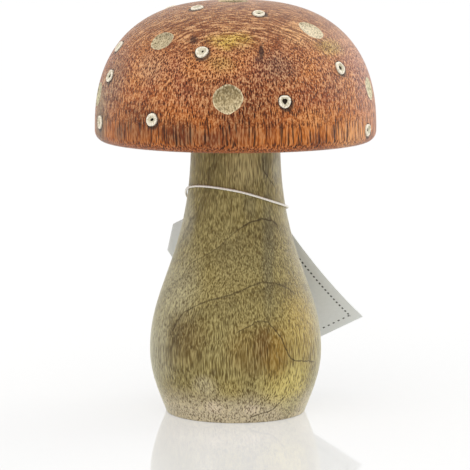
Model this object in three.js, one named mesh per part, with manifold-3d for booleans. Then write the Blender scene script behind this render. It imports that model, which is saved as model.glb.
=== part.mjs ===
import * as THREE from "three";
import { mergeVertices } from "three/addons/utils/BufferGeometryUtils.js";
import Module from "manifold-3d";

const wasm = await Module();
wasm.setup();

// A turned wooden toadstool: a stained cap glued on a pear-shaped stem, with a card tag on a thread.
// Lengths are in millimetres and angles in degrees. +Z is up, and the origin is the middle of the foot.

// Stem
const stemHeight = 99.3;
const footRadius = 25.5;
const footChamfer = 0.7;
const bellyRadius = 31.3;
const bellyHeight = 22.8;
const neckRadius = 16.2;

// How far each end of the stem's two curves runs straight on, as a share of that curve's height
const footPull = 0.35;
const underBellyPull = 0.34;
const overBellyPull = 0.32;
const neckPull = 0.55;
const footFlare = 3;

// Cap, from the flat underside up
const capRadius = 50.9;
const capHeight = 50.7;
const rimRound = 4;
const wallPower = 2.6;
const crownPower = 2.4;

// Dowel glued into the cap and the stem
const dowelRadius = 6;
const dowelLength = 36;
const dowelChamfer = 0.8;
const glueGap = 0.3;

// Round pegs set into drilled holes
const pegRadius = 2.35;
const pegLength = 3.6;
const pegProud = 0.5;
const pegEdgeRound = 0.5;
const pegDishRadius = 1.5;
const pegDishDepth = 0.4;
const pegEyeRadius = 0.6;
const pegEyeDepth = 1.1;

// Shallow hollows cut with a round gouge
const gougeRadius = 20;
const gougeReach = 4;

// Card tag
const tagWidth = 47;
const tagLength = 71;
const tagThickness = 0.5;
const tagClip = 7.8;
const tagBowRadius = 130;
const tagHoleRadius = 2;
const tagHoleInset = 6;
const tagHoleSide = -7.7;
const tagHoleHeight = 66.7;
const tagGap = 0.3;
const tagTurn = -17.2;
const tagLean = 15.3;
const tagSwing = -28.3;

// Thread
const threadRadius = 0.4;
const knotRadius = 1.1;

// Where the marks lie: the turn from the front towards +X, then the climb from the wall, 0, to the crown, 90
const pegPlaces = [
  [-35, 6], [-16, 37], [20, 13.5], [52, 27], [18, 65],
  [-40, 71], [-76, 37], [-68, 22], [-71.5, 3], [67, 1],
  [98, 7], [112, 28], [142, 60], [150, 27], [163, 5],
  [-170, 20], [-148, 42], [-124, 4], [-104, 24], [-112, 66],
];

// The same two angles, then the width of the hollow
const hollowPlaces = [
  [-3, 15, 11.6], [-40, 43, 9.6], [47, 50, 9.8], [75, 16, 10.4], [-80, 13, 9.4], [-14, 87, 11.4],
  [106, 50, 10], [130, 15, 11], [172, 44, 10.4], [-126, 28, 10.8], [-150, 14, 9.6],
];

const radians = THREE.MathUtils.degToRad;

// Finish colours
const stainedWood = { color: 0xb0562c, roughness: 0.55, metalness: 0 };
const bareWood = { color: 0x8d7a55, roughness: 0.6, metalness: 0 };
const dowelWood = { color: 0xc9a878, roughness: 0.7, metalness: 0 };
const pegFinish = { color: 0xd9ccb0, roughness: 0.6, metalness: 0 };
const threadFinish = { color: 0xf1ede4, roughness: 0.9, metalness: 0 };
const cardFinish = { color: 0xc5c7c2, roughness: 0.85, metalness: 0 };

// Facets round each turned shape, and steps along each curve
const stemSides = 48;
const stemSteps = 12;
const capSides = 52;
const domeSteps = 13;
const dowelSides = 20;
const gougeSides = 16;
const pegSides = 12;
const tagBowSteps = 12;
const tagHoleSteps = 8;
const knotSides = 12;
const threadSides = 8;
const neckThreadSteps = 64;
const holeThreadSteps = 24;

// How far a cutter runs past the face that it opens, and how near two points are one
const cutOver = 1;
const weldReach = 1e-4;

function piece(name, geometry, finish) {
  const mesh = new THREE.Mesh(geometry, new THREE.MeshStandardMaterial(finish));
  mesh.name = name;
  return mesh;
}

// Solids: a closed geometry becomes one that can be cut, and comes back as a geometry
function toSolid(geometry) {
  const bare = geometry.clone();
  bare.deleteAttribute("normal");
  bare.deleteAttribute("uv");
  const merged = mergeVertices(bare, weldReach);
  const corners = merged.index.array;
  const kept = [];
  for (let i = 0; i < corners.length; i += 3) {
    const [a, b, c] = corners.slice(i, i + 3);
    if (a !== b && b !== c && c !== a) kept.push(a, b, c);
  }
  const vertProperties = new Float32Array(merged.attributes.position.array);
  return new wasm.Manifold(new wasm.Mesh({ numProp: 3, vertProperties, triVerts: new Uint32Array(kept) }));
}

function toGeometry(solid) {
  const mesh = solid.getMesh();
  const geometry = new THREE.BufferGeometry();
  geometry.setAttribute("position", new THREE.BufferAttribute(new Float32Array(mesh.vertProperties), 3));
  geometry.setIndex(new THREE.BufferAttribute(new Uint32Array(mesh.triVerts), 1));
  geometry.computeVertexNormals();
  return geometry;
}

// A turned shape about +Z, from [radius, height] points that start and end on the axis
function turned(points, sides) {
  const profile = points.map(([radius, height]) => new THREE.Vector2(radius, height));
  return new THREE.LatheGeometry(profile, sides).rotateX(Math.PI / 2);
}

// A quarter round, from one angle to another about a centre
function arcPoints(centreRadius, centreHeight, radius, from, to, steps) {
  return Array.from({ length: steps + 1 }, (_, i) => {
    const angle = radians(from + ((to - from) * i) / steps);
    return [centreRadius + radius * Math.cos(angle), centreHeight + radius * Math.sin(angle)];
  });
}

// Stem: one curve from the foot to the belly and one from the belly to the neck
function stemOutline() {
  const neckSpan = stemHeight - bellyHeight;
  const foot = new THREE.Vector2(footRadius, footChamfer);
  const belly = new THREE.Vector2(bellyRadius, bellyHeight);
  const neck = new THREE.Vector2(neckRadius, stemHeight);
  const lower = new THREE.CubicBezierCurve(
    foot,
    new THREE.Vector2(footRadius + footFlare, footPull * bellyHeight),
    new THREE.Vector2(bellyRadius, (1 - underBellyPull) * bellyHeight),
    belly,
  );
  const upper = new THREE.CubicBezierCurve(
    belly,
    new THREE.Vector2(bellyRadius, bellyHeight + overBellyPull * neckSpan),
    new THREE.Vector2(neckRadius, stemHeight - neckPull * neckSpan),
    neck,
  );
  const points = [...lower.getPoints(stemSteps / 2), ...upper.getPoints(stemSteps).slice(1)];
  return points.map(({ x, y }) => [x, y]);
}

function dowelBore(from, to) {
  const radius = dowelRadius + glueGap;
  return turned([[0, from], [radius, from], [radius, to], [0, to]], dowelSides);
}

function makeStem() {
  const outline = [[0, 0], [footRadius - footChamfer, 0], ...stemOutline(), [0, stemHeight]];
  const bore = dowelBore(stemHeight - dowelLength / 2 - glueGap, stemHeight + cutOver);
  const bored = toSolid(turned(outline, stemSides)).subtract(toSolid(bore));
  return piece("stem", toGeometry(bored), bareWood);
}

function makeDowel() {
  const [low, high] = [stemHeight - dowelLength / 2, stemHeight + dowelLength / 2];
  const shape = turned(
    [
      [0, low], [dowelRadius - dowelChamfer, low], [dowelRadius, low + dowelChamfer],
      [dowelRadius, high - dowelChamfer], [dowelRadius - dowelChamfer, high], [0, high],
    ],
    dowelSides,
  );
  return piece("dowel", shape, dowelWood);
}

// Cap: a rounded rim, then a dome whose radius and height follow one rounded-square formula
const domeBase = stemHeight + rimRound;
const domeHeight = capHeight - rimRound;

function domePoint(climb) {
  const angle = radians(climb);
  const radius = capRadius * Math.max(Math.cos(angle), 0) ** (2 / wallPower);
  const height = domeBase + domeHeight * Math.sin(angle) ** (2 / crownPower);
  return [climb < 90 ? radius : 0, height];
}

// The place on the dome and the direction that points straight out of it
function domePlace(turn, climb) {
  const [radius, height] = domePoint(climb);
  const outward = (wallPower / capRadius) * (radius / capRadius) ** (wallPower - 1);
  const upward = (crownPower / domeHeight) * ((height - domeBase) / domeHeight) ** (crownPower - 1);
  const across = new THREE.Vector3(Math.sin(radians(turn)), -Math.cos(radians(turn)), 0);
  const point = across.clone().multiplyScalar(radius).setZ(height);
  const normal = across.multiplyScalar(outward).setZ(upward).normalize();
  return { point, normal };
}

// Turns a shape that stands on +Z so that it stands on the dome, sunk by some depth
function setOnDome(object, turn, climb, depth) {
  const { point, normal } = domePlace(turn, climb);
  object.quaternion.setFromUnitVectors(new THREE.Vector3(0, 0, 1), normal);
  object.position.copy(point).addScaledVector(normal, -depth);
  object.updateMatrix();
  return object;
}

function cutterOnDome(geometry, turn, climb, depth) {
  const cutter = setOnDome(new THREE.Mesh(geometry), turn, climb, depth);
  return toSolid(geometry.applyMatrix4(cutter.matrix));
}

function pegHole(turn, climb) {
  const radius = pegRadius + glueGap;
  const depth = pegLength - pegProud + glueGap;
  const top = depth + cutOver;
  const drill = turned([[0, 0], [radius, 0], [radius, top], [0, top]], pegSides);
  return cutterOnDome(drill, turn, climb, depth);
}

function gougeCut(turn, climb, width) {
  const depth = (width ** 2 / 8) * (1 / gougeRadius + 1 / capRadius);
  const reach = width / 2 + gougeReach;
  const ending = THREE.MathUtils.radToDeg(Math.asin(reach / gougeRadius)) - 90;
  const bowl = arcPoints(0, gougeRadius, gougeRadius, -90, ending, 4).slice(1);
  const top = bowl.at(-1)[1] + gougeReach;
  return cutterOnDome(turned([[0, 0], ...bowl, [reach, top], [0, top]], gougeSides), turn, climb, depth);
}

function makeCap() {
  const rim = arcPoints(capRadius - rimRound, domeBase, rimRound, -90, 0, 3);
  const dome = Array.from({ length: domeSteps }, (_, i) => domePoint(((i + 1) * 90) / domeSteps));
  let cap = toSolid(turned([[0, stemHeight], ...rim, ...dome], capSides));
  cap = cap.subtract(toSolid(dowelBore(stemHeight - cutOver, stemHeight + dowelLength / 2 + glueGap)));
  for (const [turn, climb, width] of hollowPlaces) cap = cap.subtract(gougeCut(turn, climb, width));
  for (const [turn, climb] of pegPlaces) cap = cap.subtract(pegHole(turn, climb));
  return piece("cap", toGeometry(cap), stainedWood);
}

// Peg: rounded at its rim, dished, with a small blind eye in the middle
function makePeg(name, turn, climb) {
  const rounding = arcPoints(pegRadius - pegEdgeRound, pegLength - pegEdgeRound, pegEdgeRound, 0, 90, 2);
  const dishFloor = pegLength - pegDishDepth;
  const shape = turned(
    [
      [0, 0], [pegRadius, 0], ...rounding, [pegDishRadius, pegLength],
      [pegEyeRadius, dishFloor], [pegEyeRadius, dishFloor - pegEyeDepth], [0, dishFloor - pegEyeDepth],
    ],
    pegSides,
  );
  return setOnDome(piece(name, shape, pegFinish), turn, climb, pegLength - pegProud);
}

// Tag: a bowed strip of card trimmed to a plate with two clipped corners and a hole.
// In its own frame the hole is the origin, +X runs across the card, +Y down it and +Z out of its back.
function makeTag() {
  const half = tagThickness / 2;
  const [start, end] = [-tagHoleInset / tagBowRadius, (tagLength - tagHoleInset) / tagBowRadius];
  const strip = new THREE.Shape();
  strip.absarc(0, tagBowRadius, tagBowRadius + half, start - Math.PI / 2, end - Math.PI / 2, false);
  strip.absarc(0, tagBowRadius, tagBowRadius - half, end - Math.PI / 2, start - Math.PI / 2, true);
  const sheet = new THREE.ExtrudeGeometry(strip, {
    depth: tagWidth, bevelEnabled: false, curveSegments: tagBowSteps,
  });
  sheet.applyMatrix4(new THREE.Matrix4().makeBasis(
    new THREE.Vector3(0, 1, 0), new THREE.Vector3(0, 0, 1), new THREE.Vector3(1, 0, 0),
  ));
  sheet.translate(-tagWidth / 2, 0, 0);

  const [side, top] = [tagWidth / 2 + cutOver, -tagHoleInset];
  const clip = tagClip + cutOver;
  const plate = new THREE.Shape([
    new THREE.Vector2(clip - side, top), new THREE.Vector2(side - clip, top),
    new THREE.Vector2(side, top + clip), new THREE.Vector2(side, tagLength),
    new THREE.Vector2(-side, tagLength), new THREE.Vector2(-side, top + clip),
  ]);
  plate.holes.push(new THREE.Path().absarc(0, 0, tagHoleRadius, 0, 2 * Math.PI, false));
  const cutter = new THREE.ExtrudeGeometry(plate, {
    depth: tagLength, bevelEnabled: false, curveSegments: tagHoleSteps,
  });
  cutter.translate(0, 0, -tagLength / 2);
  return piece("swing_tag", toGeometry(toSolid(sheet).intersect(toSolid(cutter))), cardFinish);
}

// The card leans on the stem with the thread between them, and its hole lies as far back as that puts it
const tagAngles = new THREE.Euler(radians(tagLean), radians(tagSwing), radians(tagTurn), "ZXY");

function tagHoleBack() {
  const down = new THREE.Vector3(0, 0, -1).applyEuler(tagAngles);
  const back = new THREE.Vector3(0, 1, 0).applyEuler(tagAngles);
  const clearance = tagThickness / 2 + 2 * threadRadius + 2 * tagGap;
  const needed = stemOutline().map(([radius, height]) => {
    const point = back.clone().setZ(0).setLength(radius).setZ(height);
    const run = new THREE.Vector3(point.x - tagHoleSide, 0, height - tagHoleHeight).dot(down);
    if (run < -tagHoleInset || run > tagLength - tagHoleInset) return 0;
    const ahead = point.dot(back) + clearance - run ** 2 / (2 * tagBowRadius);
    return (ahead - back.x * tagHoleSide - back.z * tagHoleHeight) / back.y;
  });
  return Math.max(...needed);
}

// A cord of thread through a list of points
function threadAlong(points, steps) {
  const section = new THREE.Shape(Array.from({ length: threadSides }, (_, i) => {
    const angle = (2 * Math.PI * i) / threadSides;
    return new THREE.Vector2(threadRadius * Math.cos(angle), threadRadius * Math.sin(angle));
  }));
  const stops = points.map((point) => new THREE.Vector3(...point));
  const extrudePath = new THREE.CatmullRomCurve3(stops, false, "centripetal");
  return new THREE.ExtrudeGeometry(section, { extrudePath, steps, bevelEnabled: false });
}

// The loop round the neck, from the knot behind its left side, round the front and back to the knot
const neckRoute = [
  [-14, 23.3, 76], [-15.3, 16.6, 76.6], [-16.6, 9.9, 77.3], [-17.8, 3.8, 78.6], [-18, 0, 80.6],
  [-17.2, -4.6, 82.5], [-15.4, -8.9, 83.5], [-12.5, -12.5, 84], [-8.3, -15.6, 84], [-3.1, -17.5, 83.4],
  [2.5, -17.7, 82.3], [7.6, -16.4, 80.7], [12.2, -13.6, 78.9], [16, -9.2, 77.2], [18.3, -3.9, 75.7],
  [18.9, 1.6, 74.6], [17.7, 7.1, 73.9], [14.7, 12.3, 73.6], [10.5, 16.1, 73.6], [6.7, 18.2, 73.8],
  [1, 19.9, 74.2], [-5.5, 21.9, 74.8], [-12.4, 24, 75.7],
];

// The loop through the tag's hole, in the tag's frame
const knotPlace = [0, -11, -0.8];
const holeRoute = [
  [0, -9.7, -1.3], [0, -8, -1.6], [0, -6, -1.75], [0, -4.4, -1.8], [0, -3, -1.7], [0, -1.8, -1.2],
  [0, -1.3, 0], [0, -1.8, 1.2], [0, -3, 1.7], [0, -4.4, 1.8], [0, -6, 1.75], [0, -8, 1.4], [0, -9.6, 0.4],
];

const part = new THREE.Group();
part.add(makeStem(), makeDowel(), makeCap());
pegPlaces.forEach(([turn, climb], i) => {
  part.add(makePeg(`ring_peg_${String(i + 1).padStart(2, "0")}`, turn, climb));
});

const hanging = new THREE.Group();
hanging.position.set(tagHoleSide, tagHoleBack(), tagHoleHeight);
hanging.setRotationFromEuler(tagAngles);
const cardFrame = new THREE.Group();
cardFrame.rotation.x = -Math.PI / 2;
const ball = new THREE.SphereGeometry(knotRadius, knotSides, knotSides / 2);
const knot = piece("thread_knot", ball, threadFinish);
knot.position.set(...knotPlace);
const holeThread = piece("hole_thread", threadAlong(holeRoute, holeThreadSteps), threadFinish);
cardFrame.add(makeTag(), knot, holeThread);
hanging.add(cardFrame);
part.add(hanging, piece("neck_thread", threadAlong(neckRoute, neckThreadSteps), threadFinish));

export default part;
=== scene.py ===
import functools
import math

import bmesh
import bpy
from mathutils import Matrix, Vector, geometry, noise


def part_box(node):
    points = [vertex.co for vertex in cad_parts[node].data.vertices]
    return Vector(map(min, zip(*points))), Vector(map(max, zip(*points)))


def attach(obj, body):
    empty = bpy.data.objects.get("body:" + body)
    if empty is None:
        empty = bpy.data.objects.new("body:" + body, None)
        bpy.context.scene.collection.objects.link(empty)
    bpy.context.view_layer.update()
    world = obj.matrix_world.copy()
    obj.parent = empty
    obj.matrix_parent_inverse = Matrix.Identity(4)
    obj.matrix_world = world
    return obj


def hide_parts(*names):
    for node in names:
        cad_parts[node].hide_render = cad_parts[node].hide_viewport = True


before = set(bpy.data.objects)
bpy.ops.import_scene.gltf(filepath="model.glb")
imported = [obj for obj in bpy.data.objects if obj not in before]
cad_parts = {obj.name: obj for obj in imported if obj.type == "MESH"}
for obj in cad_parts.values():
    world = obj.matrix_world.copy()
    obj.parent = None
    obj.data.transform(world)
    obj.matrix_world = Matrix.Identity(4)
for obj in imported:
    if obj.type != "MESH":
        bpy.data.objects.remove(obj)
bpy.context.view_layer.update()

# a turned mango wood toadstool with a stained cap, a bare stem and a card tag on a thread;
# metres, +Z up, the middle of the foot at the origin, the front towards -Y
mm = 0.001
weldReach = 0.001 * mm
scene = bpy.context.scene
print("frame loaded")


def linkObject(name, data):
    thing = bpy.data.objects.new(name, data)
    scene.collection.objects.link(thing)
    return thing


# camera, in front and a little above the middle of the cap
cameraSetup = {
    "side": -0.2 * mm,
    "distance": 984 * mm,
    "height": 194.7 * mm,
    "tiltDown": 7.528,  # degrees
    "lens": 208.95,
    "sensor": 36,
    "clip": (0.05, 50),
}


def makeCamera(setup):
    data = bpy.data.cameras.new("camera")
    data.lens = setup["lens"]
    data.sensor_width = setup["sensor"]
    data.clip_start, data.clip_end = setup["clip"]
    camera = linkObject("camera", data)
    camera.location = (setup["side"], -setup["distance"], setup["height"])
    camera.rotation_euler = (math.radians(90 - setup["tiltDown"]), 0, 0)
    scene.camera = camera


makeCamera(cameraSetup)
print("camera made")


# helpers for every piece
def addPiece(name, mesh, body, replaced, materials=()):
    piece = linkObject(name, mesh)
    for material in materials:
        mesh.materials.append(material)
    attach(piece, body)
    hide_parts(*replaced)
    return piece


def toMesh(bm, name):
    mesh = bpy.data.meshes.new(name)
    bm.to_mesh(mesh)
    bm.free()
    return mesh


def smoothShade(mesh, sharpAngle):
    mesh.shade_smooth()
    mesh.set_sharp_from_angle(angle=math.radians(sharpAngle))
    return mesh


# the mesh that a temporary object makes with its helper
def takeMesh(thing, helper):
    graph = bpy.context.evaluated_depsgraph_get()
    mesh = bpy.data.meshes.new_from_object(thing.evaluated_get(graph))
    for temporary in (thing, helper):
        bpy.data.objects.remove(temporary)
    return mesh


# cuts one mesh out of another and gives the mesh that is left
def cutAway(whole, cutter):
    kept, tool = linkObject("whole", whole), linkObject("cutter", cutter)
    modifier = kept.modifiers.new("cut", "BOOLEAN")
    modifier.operation = "DIFFERENCE"
    modifier.solver = "EXACT"
    modifier.material_mode = "INDEX"
    modifier.object = tool
    return takeMesh(kept, tool)


# gives every corner its place on the piece, for a material that follows the surface
def markPlaces(bm, name, placeOf):
    layer = bm.loops.layers.uv.new(name)
    for face in bm.faces:
        for loop in face.loops:
            loop[layer].uv = placeOf(loop.vert.co)


# an outline of (radius, height) points that starts and ends on the axis, spun round +Z
def spinOutline(outline, steps, material=0):
    bm = bmesh.new()
    line = [bm.verts.new((radius, 0, height)) for radius, height in outline]
    for low, high in zip(line, line[1:]):
        bm.edges.new((low, high))
    bmesh.ops.spin(
        bm, geom=bm.verts[:] + bm.edges[:], cent=(0, 0, 0), axis=(0, 0, 1),
        angle=2 * math.pi, steps=steps, use_merge=True,
    )
    bmesh.ops.remove_doubles(bm, verts=bm.verts, dist=weldReach)
    bmesh.ops.recalc_face_normals(bm, faces=bm.faces)
    for face in bm.faces:
        face.material_index = material
    return bm


def arcPoints(centreRadius, centreHeight, radius, start, end, steps):
    angles = [math.radians(start + (end - start) * i / steps) for i in range(steps + 1)]
    return [(centreRadius + radius * math.cos(a), centreHeight + radius * math.sin(a)) for a in angles]


# how far a hand-made outline stands from a true circle at an angle, eased between the listed shares
def outlineShare(shares, angle):
    place = angle / (2 * math.pi) * len(shares)
    low = math.floor(place)
    ease = (1 - math.cos((place - low) * math.pi)) / 2
    return shares[low % len(shares)] * (1 - ease) + shares[(low + 1) % len(shares)] * ease


# materials
def hexColour(code):  # sRGB hex to the linear values that the nodes take
    channels = [int(code[i:i + 2], 16) / 255 for i in (1, 3, 5)]
    return [c / 12.92 if c <= 0.04045 else ((c + 0.055) / 1.055) ** 2.4 for c in channels] + [1]


# a node with its settings and with what goes into its sockets, by their names or in their order
def addNode(tree, kind, links, out=None, **settings):
    node = tree.nodes.new("ShaderNode" + kind)
    for name, value in settings.items():
        setattr(node, name, value)
    sockets = {socket.identifier: socket for socket in node.inputs}
    for name, value in links.items() if isinstance(links, dict) else zip(sockets, links):
        if isinstance(value, bpy.types.NodeSocket):
            tree.links.new(value, sockets[name])
        else:
            sockets[name].default_value = value
    return node.outputs[out] if out else next((s for s in node.outputs if s.enabled), node)


# an empty material, its node tree and the coordinates of its piece
def newMaterial(name):
    material = bpy.data.materials.new(name)
    material.use_nodes = True
    tree = material.node_tree
    tree.nodes.clear()
    return material, tree, addNode(tree, "TexCoord", {}, out="Object")


# joins the colour, the relief and the shader's own values to the output
def finishMaterial(tree, colour, relief, finish):
    sockets = {"Base Color": colour, **finish["surface"]}
    if "bump" in finish:
        strength, depth = finish["bump"]
        links = {"Height": relief, "Strength": strength, "Distance": depth}
        sockets["Normal"] = addNode(tree, "Bump", links)
    addNode(tree, "OutputMaterial", {"Surface": addNode(tree, "BsdfPrincipled", sockets)})


# coordinates in which each of the three sizes counts as one
def stretch(tree, coords, sizes):
    return addNode(tree, "Mapping", {"Vector": coords, "Scale": [1 / size for size in sizes]})


# distance from the nearest vessel, as a share of their spacing; they run along +Z, so a wall cuts them
# lengthwise into streaks, and a slope cuts them into flecks and dots
def vesselDistance(tree, coords, spacing, length, spread):
    stretched = stretch(tree, coords, (spacing, spacing, length))
    return addNode(tree, "TexVoronoi", {"Vector": stretched, "Scale": 1, "Randomness": spread})


# noise of a width and a length along +Z: fibres where it is long, and clouds where it isn't
def noisePattern(tree, coords, width, length, detail=1):
    stretched = stretch(tree, coords, (width, width, length))
    return addNode(tree, "TexNoise", {"Vector": stretched, "Scale": 1, "Detail": detail})


# coordinates that wander a little, as grain does: the size of a bend, and how far it goes to each side
def wanderingCoords(tree, coords, size, reach):
    cloud = addNode(tree, "TexNoise", {"Vector": coords, "Scale": 1 / size, "Detail": 2}, out="Color")
    centred = addNode(tree, "VectorMath", (cloud, (0.5, 0.5, 0.5)), operation="SUBTRACT")
    scale = (2 * reach, 2 * reach, 2 * reach)
    return addNode(tree, "VectorMath", (centred, scale, coords), operation="MULTIPLY_ADD")


# growth rings about a heart, each with a thin dark line and a shade that fades outwards
def ringPattern(tree, coords, rings):
    x, y = rings["heart"]
    moved = addNode(tree, "Mapping", {"Vector": coords, "Location": (-x, -y, 0)})
    flat = addNode(tree, "VectorMath", (moved, (1, 1, 0)), operation="MULTIPLY")
    distance = addNode(tree, "VectorMath", (flat,), out="Value", operation="LENGTH")
    share = addNode(tree, "Math", (distance, rings["reach"]), operation="DIVIDE")
    ramp = addNode(tree, "ValToRGB", {"Fac": share})
    stops = ramp.node.color_ramp.elements
    stops.remove(stops[1])
    stops[0].position = 0
    stops[0].color = (0, 0, 0, 1)
    for line in rings["lines"]:
        inner, outer = line - rings["lineWidth"], line + rings["lineWidth"]
        for place, level in ((inner, 0), (line, 1), (outer, rings["shade"]), (line + rings["fade"], 0)):
            stop = stops.new(place / rings["reach"])
            stop.color = (level, level, level, 1)
    return ramp


# joins values into one by a Math operation, two at a time
def combine(tree, operation, values):
    return functools.reduce(lambda a, b: addNode(tree, "Math", (a, b), operation=operation), values)


# a share that runs from start to end while the value runs from low to high
def shareOf(tree, value, low, high, start=0, end=1, ease="LINEAR"):
    limits = {"From Min": low, "From Max": high, "To Min": start, "To Max": end}
    return addNode(tree, "MapRange", {"Value": value, **limits}, interpolation_type=ease)


# lays a colour over another, by a share of that kind
def layColour(tree, under, value, colour, low=0, high=1, start=0, end=1, ease="LINEAR"):
    share = shareOf(tree, value, low, high, start, end, ease)
    upper = hexColour(colour) if isinstance(colour, str) else colour
    links = {"Factor_Float": share, "A_Color": under, "B_Color": upper}
    return addNode(tree, "Mix", links, data_type="RGBA")


# a soft-edged patch of colour: its middle and half sizes in mm, colour, strength and solid share
def paintPatch(tree, coords, under, middle, size, colour, strength, core=0.2, turn=(0, 0, 0)):
    moved = addNode(tree, "Mapping", {
        "Vector": coords, "Location": Vector(middle) * mm, "Rotation": turn, "Scale": Vector(size) * mm,
    }, vector_type="TEXTURE")
    distance = addNode(tree, "VectorMath", (moved,), out="Value", operation="LENGTH")
    return layColour(tree, under, distance, colour, core, 1, strength, 0, "SMOOTHSTEP")


# what the woods here share
grainShape = {
    "ridgeMiddle": 0.45,  # the usual distance from a vessel, as a share of their spacing
    "palePull": 0.6,  # how far rubbed grain leaves the ground's own colour for the pale one
    "layerNoise": {"Scale": 1, "Detail": 3, "Roughness": 0.65},
    "layerGain": 3,  # this noise hardly leaves its middle, so it is stretched
}


# mango wood grain over a ground colour: fibres cut lengthwise make streaks, cut across they make specks
def woodGrain(tree, coords, ground, wood):
    g = grainShape
    fibres = noisePattern(tree, coords, *wood["fibres"])
    distance = vesselDistance(tree, coords, *wood["vessels"])
    ridges = addNode(tree, "Math", (distance, g["ridgeMiddle"]), operation="SUBTRACT")
    grain = addNode(tree, "Math", (ridges, wood["ridgeShare"], fibres), operation="MULTIPLY_ADD")
    if "layerSize" in wood:
        gain = g["layerGain"]
        slabs = stretch(tree, coords, wood["layerSize"])
        layers = addNode(tree, "TexNoise", {"Vector": slabs, **g["layerNoise"]})
        layers = addNode(tree, "Math", (layers, gain, (1 - gain) / 2), operation="MULTIPLY_ADD")
        links = {"Factor_Float": wood["layerShare"], "A_Float": grain, "B_Float": layers}
        grain = addNode(tree, "Mix", links, data_type="FLOAT")
    low, middle, high = wood["grainSteps"]
    shaded = layColour(tree, ground, grain, wood["shadow"], low, middle, wood["grainShade"], 0)
    links = {"Vector": ground, "Scale": wood["paleLift"]}
    lightened = addNode(tree, "VectorMath", links, operation="SCALE")
    links = {"Factor_Float": g["palePull"], "A_Color": lightened, "B_Color": hexColour(wood["pale"])}
    pale = addNode(tree, "Mix", links, data_type="RGBA")
    colour = layColour(tree, shaded, grain, pale, middle, high, 0, wood["paleShare"])
    vesselDepth = shareOf(tree, distance, *wood["vesselEdge"], "SMOOTHSTEP")
    colour = layColour(tree, colour, vesselDepth, wood["vessel"])
    relief = addNode(tree, "Math", (grain, vesselDepth), operation="SUBTRACT")
    return colour, relief


# the ground of a turned wood: clouds, tones by height and listed patches, and what they all follow
def woodGround(tree, plain, wood):
    coords = wanderingCoords(tree, plain, *wood["bend"])
    cloud = noisePattern(tree, plain, *wood["clouds"])
    ground = layColour(tree, hexColour(wood["ground"]), cloud, *wood["cloudTone"])
    wavy = wanderingCoords(tree, coords, *wood["patchBend"])
    height = addNode(tree, "SeparateXYZ", {"Vector": wavy}, out="Z")
    for tone in wood["tones"]:
        ground = layColour(tree, ground, height, *tone, "SMOOTHSTEP")
    for patch in wood["patches"]:
        ground = paintPatch(tree, wavy, ground, *patch)
    return ground, coords, cloud, wavy, height


crackShape = {
    "overlap": 0.85,  # half length, as a share of the run
    "depth": 3,  # mm
    "core": 0.3,  # solid share of the width
}


# a patch long and thin enough to be one run of a crack, standing straight into the turned surface
def crackPatch(start, end, width, strength, colour):
    start, end = Vector(start), Vector(end)
    along = (end - start).normalized()
    across = Vector((start.x, start.y, 0)).cross(along).normalized()
    turned = Matrix((along, across, along.cross(across))).transposed().to_euler()
    size = ((end - start).length * crackShape["overlap"], width, crackShape["depth"])
    return (start + end) / 2, size, colour, strength, crackShape["core"], turned


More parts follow.
